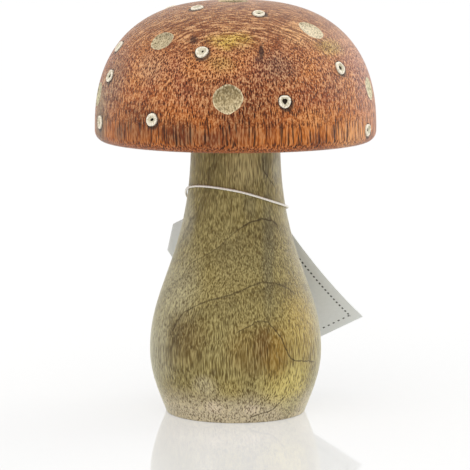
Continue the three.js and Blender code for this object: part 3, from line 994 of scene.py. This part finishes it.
hollowShape = {
    "depthShare": 0.1,  # of the width
    "edgePower": 2.8,
    "reach": 1.25,  # the cutter goes on past the rim to this share of its radius
    "outerSlope": 2,  # how much steeper it is there
    "clearance": 3,  # how far it stands out of the cap, in depths
    "roughness": 0.12 * mm,
    "lumpSize": 2.5 * mm,
    "rings": 8,
    "spinSteps": 48,
    "material": 2,  # among the cap's
}
hollowOutlines = [
    [1, 0.97, 0.92, 0.95, 0.9, 0.96, 1.03, 1.02, 1, 1.03, 0.93, 0.95],
    [1.02, 1.05, 0.96, 0.9, 0.93, 0.98, 1, 1.06, 1, 0.92, 0.94, 0.98],
    [1, 0.92, 0.9, 0.97, 1.08, 1, 0.9, 0.88, 0.95, 1, 1.07, 1.1],
]

# turn, climb, width in mm, outline
hollowPlaces = [
    (-3, 15, 10.6, 0), (-40, 43, 8.8, 1), (47, 50, 9.4, 2), (75, 16, 8.6, 0), (-80, 13, 9.4, 1),
    (-14, 87, 11.4, 2), (106, 50, 10, 0), (130, 15, 11, 1), (172, 44, 10.4, 2), (-126, 28, 10.8, 0),
    (-150, 14, 9.6, 1),
]


# pushes a spun shape in or out to a hand-cut outline, with a little unevenness, and sets it on the dome
def roughen(bm, shares, place, unevenness, grain):
    for vert in bm.verts:
        share = outlineShare(shares, math.atan2(vert.co.y, vert.co.x))
        vert.co.x *= share
        vert.co.y *= share
    bmesh.ops.transform(bm, matrix=place, verts=bm.verts)
    out = place.col[2].to_3d()
    for vert in bm.verts:
        vert.co += out * unevenness * noise.noise(vert.co / grain)


def hollowCutter(turn, climb, width, outline):
    h = hollowShape
    half = width * mm / 2
    depth = h["depthShare"] * width * mm
    sag = half ** 2 / (2 * capShape["radius"])
    profile = []
    for i in range(h["rings"] + 1):
        share = i / h["rings"]
        profile.append((half * share, -depth * (1 - share ** h["edgePower"]) - sag * share ** 2))
    slope = h["outerSlope"] * depth * h["edgePower"] / half
    run = half * (h["reach"] - 1)
    top = h["clearance"] * depth
    profile += [(half + run, profile[-1][1] + run * slope), (half + run, top), (0, top)]
    bm = spinOutline(profile, h["spinSteps"], h["material"])
    markPlaces(bm, "hollow", lambda spot: (spot.to_2d().length / half, spot.y / half))
    roughen(bm, hollowOutlines[outline], domeFrame(turn, climb), h["roughness"], h["lumpSize"])
    return bm


def pegHoleCutter(turn, climb, outline):
    p = pegShape
    radius = p["radius"] + p["gap"]
    depth = p["length"] - p["proud"] + p["gap"]
    flare, top = p["flare"], p["clearance"]
    profile = [
        (0, -depth), (radius, -depth), (radius, -2 * flare), (radius + flare, flare / 2),
        (radius + 2 * flare, top), (0, top),
    ]
    bm = spinOutline(profile, p["spinSteps"], p["holeMaterial"])
    roughen(bm, pegOutlines[outline], domeFrame(turn, climb), 0, p["lumpSize"])
    return bm


def joinMeshes(parts, name):
    whole = bmesh.new()
    for bm in parts:
        whole.from_mesh(toMesh(bm, name))
    return toMesh(whole, name)


def capOutline(c):
    rim = arcPoints(c["radius"] - c["rimRound"], domeBase, c["rimRound"], -90, 0, c["roundSteps"])
    dome = [domePoint(90 * (i + 1) / c["domePoints"]) for i in range(c["domePoints"])]
    bore = c["base"] + c["boreDepth"]
    return [(0, bore), (c["boreRadius"], bore), (c["boreRadius"], c["base"])] + rim + dome


def makeCap():
    # centres of the pegs' dark rings, shifted down the dome for the painted shadow
    shift = Vector(stainedWood["shadowShift"])
    stainAndShadowCentres = [domeFrame(turn, climb) @ shift for turn, climb, *_ in pegPlaces]
    drilled = makeFibreFinish("drilled wood, dark with stain", drilledWood)
    materials = [makeStainedWood(stainedWood, stainAndShadowCentres), drilled, makeWhitewash(whitewash)]
    cuts = [hollowCutter(*place) for place in hollowPlaces]
    cuts += [pegHoleCutter(turn, climb, outline) for turn, climb, outline, *_ in pegPlaces]
    whole = toMesh(spinOutline(capOutline(capShape), capShape["spinSteps"]), "turned_cap")
    cutter = joinMeshes(cuts, "cap_cutter")
    for mesh in (whole, cutter):
        for material in materials:
            mesh.materials.append(material)
    mesh = smoothShade(cutAway(whole, cutter), capShape["sharpAngle"])
    return addPiece("turned_cap", mesh, "mushroom", ["cap"])


cap = makeCap()
print("cap made, faces:", len(cap.data.polygons))


# pegs: a rough raised rim, a shallow dish and a small dark eye
def makePeg(number, turn, climb, outline, eye, offset, materials):
    p = pegShape
    eyeRadius = eye * mm
    shift = Vector((*offset, 0)) * mm
    shoulder = p["length"] - p["edgeRound"]
    floor = p["length"] - p["dishDepth"]
    rim = arcPoints(p["radius"] - p["edgeRound"], shoulder, p["edgeRound"], 0, 90, p["roundSteps"])
    inner = max(p["dishRadius"], eyeRadius + p["eyeRim"])
    profile = [(0, 0), (p["radius"] - p["footBevel"], 0), (p["radius"], p["footBevel"])] + rim + [
        (inner, p["length"] - p["lip"]), ((inner + eyeRadius) / 2, floor), (eyeRadius, floor - p["lip"]),
        (eyeRadius * p["eyeTaper"], floor - p["eyeDepth"]), (0, floor - p["eyeDepth"]),
    ]
    bm = spinOutline(profile, p["spinSteps"])
    for face in bm.faces:
        centre = face.calc_center_median()
        if centre.to_2d().length < eyeRadius and p["footHeight"] < centre.z < floor - p["lip"] / 2:
            face.material_index = 1
    markPlaces(bm, "peg", lambda spot: (spot.to_2d().length / p["radius"], 0))
    for vert in bm.verts:
        reach = vert.co.to_2d().length / p["radius"]
        if vert.co.z > p["footHeight"] and reach < p["trueRim"]:
            cut = outlineShare(eyeOutlines[outline], math.atan2(vert.co.y, vert.co.x))
            flat = vert.co.to_2d() * (1 + (cut - 1) * (1 - reach))
            vert.co = Vector((*flat, vert.co.z)) + shift * (1 - reach)
    place = domeFrame(turn, climb)
    place.translation -= place.col[2].to_3d() * (p["length"] - p["proud"])
    roughen(bm, pegOutlines[outline], place, p["roughness"], p["lumpSize"])
    name = f"limewashed_peg_{number:02d}"
    mesh = smoothShade(toMesh(bm, name), p["sharpAngle"])
    addPiece(name, mesh, "mushroom", [f"ring_peg_{number:02d}"], materials)


pegMaterials = [makePegPaint(pegPaint), makeFibreFinish("dark eye of a peg", pegEye)]
for number, place in enumerate(pegPlaces, 1):
    makePeg(number, *place, pegMaterials)
print("pegs made:", len(pegPlaces))


# dowel: its own solid in planed beech, pale brown with fine straight fibres
beech = {
    "fibre": (0.4 * mm, 8 * mm),
    "tones": ("#b98f63", "#dcc097"),
    "surface": {"Roughness": 0.6, "IOR": 1.5},
}
dowel = bpy.data.objects["dowel"]
dowel.data.materials.clear()
dowel.data.materials.append(makeFibreFinish("planed beech", beech))
print("dowel finished")


# the card's printed border
tagPrint = {
    "inset": 3.6 * mm,
    "top": 13 * mm,
    "dash": 0.85 * mm,
    "thick": 0.62 * mm,
    "longPitch": 1.87 * mm,
    "shortPitch": 2.28 * mm,
    "sideMargin": 0.01,  # how far a row may pass its corner, as a share of the width or length
    "endMargin": 0.008,
    "ink": "#3c3c3a",
    "fibre": (1.2 * mm, 1.2 * mm, 4),
    "tones": ("#dcdfdc", "#e7e9e7"),  # of the paper
    "surface": {"Roughness": 0.85, "IOR": 1.45},
    "bump": (0.2, 0.05 * mm),
}


# uncoated pale grey card: matt, faintly fibrous, with a row of small dark dashes inside its edge
def makeCard(tag, border):
    width, length = tag["width"], tag["length"]
    material, tree, plain = newMaterial("uncoated grey card")
    spot = addNode(tree, "SeparateXYZ", {"Vector": addNode(tree, "UVMap", {}, uv_map="card")}).node
    down = spot.outputs["Y"]
    fromMiddle = addNode(tree, "Math", (spot.outputs["X"], 0.5), operation="SUBTRACT")
    side = addNode(tree, "Math", (fromMiddle,), operation="ABSOLUTE")
    sideLine = 0.5 - border["inset"] / width
    topLine = border["top"] / length
    endLine = 1 - border["inset"] / length
    rows = []
    for place, line, size, along, alongSize, pitch in (  # both long rows, the end row and the top row
        (side, sideLine, width, down, length, border["longPitch"]),
        (down, endLine, length, fromMiddle, width, border["shortPitch"]),
        (down, topLine, length, fromMiddle, width, border["shortPitch"]),
    ):
        onLine = addNode(tree, "Math", (place, line, border["thick"] / size / 2), operation="COMPARE")
        steps = addNode(tree, "Math", (along, pitch / alongSize), operation="DIVIDE")
        part = addNode(tree, "Math", (steps,), operation="FRACT")
        onDash = addNode(tree, "Math", (part, 0.5, border["dash"] / pitch / 2), operation="COMPARE")
        rows.append(combine(tree, "MULTIPLY", (onLine, onDash)))
    parts = [combine(tree, "MAXIMUM", rows)]
    for place, limit, kept in (
        (side, sideLine + border["sideMargin"], "LESS_THAN"),
        (down, endLine + border["endMargin"], "LESS_THAN"),
        (down, topLine - border["endMargin"], "GREATER_THAN"),
    ):
        parts.append(addNode(tree, "Math", (place, limit), operation=kept))
    fibre, paper = mixTones(tree, plain, border)
    colour = layColour(tree, paper, combine(tree, "MULTIPLY", parts), border["ink"])
    finishMaterial(tree, colour, fibre, border)
    return material


def makeTag(tag, border):
    width, length, inset = tag["width"], tag["length"], tag["holeInset"]
    bm = bmesh.new()
    bmesh.ops.create_grid(bm, x_segments=tag["columns"], y_segments=tag["rows"], size=0.5)
    bmesh.ops.scale(bm, vec=(width, length, 1), verts=bm.verts)
    bmesh.ops.translate(bm, vec=(0, length / 2 - inset, -tag["thickness"] / 2), verts=bm.verts)
    for sideways in (-1, 1):
        corner = Vector((sideways * (width / 2 - tag["clip"]), -inset, 0))
        bmesh.ops.bisect_plane(
            bm, geom=bm.verts[:] + bm.edges[:] + bm.faces[:], dist=weldReach, plane_co=corner,
            plane_no=(sideways, -1, 0), clear_outer=True,
        )
    top = bmesh.ops.extrude_face_region(bm, geom=bm.faces[:])
    raised = [item for item in top["geom"] if isinstance(item, bmesh.types.BMVert)]
    bmesh.ops.translate(bm, vec=(0, 0, tag["thickness"]), verts=raised)
    bmesh.ops.recalc_face_normals(bm, faces=bm.faces)
    punch = bmesh.new()
    radius = tag["holeRadius"]
    bmesh.ops.create_cone(
        punch, cap_ends=True, segments=tag["holeSteps"], radius1=radius, radius2=radius,
        depth=tag["punchDepth"],
    )
    punched = cutAway(toMesh(bm, "card_plate"), toMesh(punch, "hole_punch"))

    bm = bmesh.new()
    bm.from_mesh(punched)
    rims = [edge for edge in bm.edges if edge.calc_face_angle(0) > math.radians(tag["edgeAngle"])]
    bmesh.ops.bevel(
        bm, geom=rims, offset=tag["edge"], offset_type="OFFSET", segments=tag["edgeSegments"], profile=0.5,
        affect="EDGES", material=-1, clamp_overlap=True,
    )
    markPlaces(bm, "card", lambda spot: (spot.x / width + 0.5, (spot.y + inset) / length))
    for vert in bm.verts:
        bend = vert.co.y / tag["bowRadius"]
        radius = tag["bowRadius"] - vert.co.z
        vert.co.y = radius * math.sin(bend)
        vert.co.z = tag["bowRadius"] - radius * math.cos(bend)
    bmesh.ops.transform(bm, matrix=tagFrame(tag), verts=bm.verts)
    mesh = smoothShade(toMesh(bm, "card_tag"), tag["sharpAngle"])
    addPiece("card_tag", mesh, "tag", ["swing_tag"], [makeCard(tag, border)])


makeTag(tagShape, tagPrint)
print("tag made")


# studio: a pale polished floor with a faint mirror image, an even white surround and two broad lamps
studio = {
    "floorSize": 12,
    "floorSteps": 64,
    "fibre": (4 * mm, 4 * mm, 2),
    "tones": ("#f1f1ef", "#f5f5f3"),  # of the floor
    "floorGlow": 0.5,  # how far the camera sees the floor as plain white
    "polish": 0.04,
    "acrylicIor": 1.49,
    "surround": 0.82,
    # name, power, then in degrees its spread, tilt from straight down and turn round the object
    "lamps": [("front lamp", 0.8, 50, 38, -20), ("rim lamp", 1.2, 60, 69, 126)],
}


def makeFloor(setup):
    material, tree, plain = newMaterial("polished white acrylic floor")
    matt = addNode(tree, "BsdfDiffuse", {"Color": mixTones(tree, plain, setup)[1]})
    white = addNode(tree, "Emission", {"Color": (1, 1, 1, 1), "Strength": 1})
    camera = addNode(tree, "LightPath", {}, out="Is Camera Ray")
    share = addNode(tree, "Math", (camera, setup["floorGlow"]), operation="MULTIPLY")
    pale = addNode(tree, "MixShader", {"Fac": share, "Shader": matt, "Shader_001": white})
    gloss = addNode(tree, "BsdfGlossy", {"Color": (1, 1, 1, 1), "Roughness": setup["polish"]})
    glancing = addNode(tree, "Fresnel", {"IOR": setup["acrylicIor"]})
    shader = addNode(tree, "MixShader", {"Fac": glancing, "Shader": pale, "Shader_001": gloss})
    addNode(tree, "OutputMaterial", {"Surface": shader})
    bm = bmesh.new()
    bmesh.ops.create_circle(bm, cap_ends=True, segments=setup["floorSteps"], radius=setup["floorSize"])
    mesh = toMesh(bm, "floor")
    mesh.materials.append(material)
    linkObject("floor", mesh)


def makeLight(setup):
    world = bpy.data.worlds.new("surround")
    world.use_nodes = True
    tree = world.node_tree
    tree.nodes.clear()
    rays = ("Is Camera Ray", "Is Glossy Ray", "Is Transmission Ray")
    seen = combine(tree, "MAXIMUM", [addNode(tree, "LightPath", {}, out=ray) for ray in rays])
    strength = shareOf(tree, seen, 0, 1, setup["surround"], 1)
    background = addNode(tree, "Background", {"Color": (1, 1, 1, 1), "Strength": strength})
    addNode(tree, "OutputWorld", {"Surface": background})
    scene.world = world
    for name, power, spread, tilt, turn in setup["lamps"]:
        data = bpy.data.lights.new(name, "SUN")
        data.energy = power
        data.angle = math.radians(spread)
        lamp = linkObject(name, data)
        lamp.rotation_euler = (math.radians(tilt), 0, math.radians(turn))


makeFloor(studio)
makeLight(studio)
scene.view_settings.view_transform = "Standard"
print("studio made")
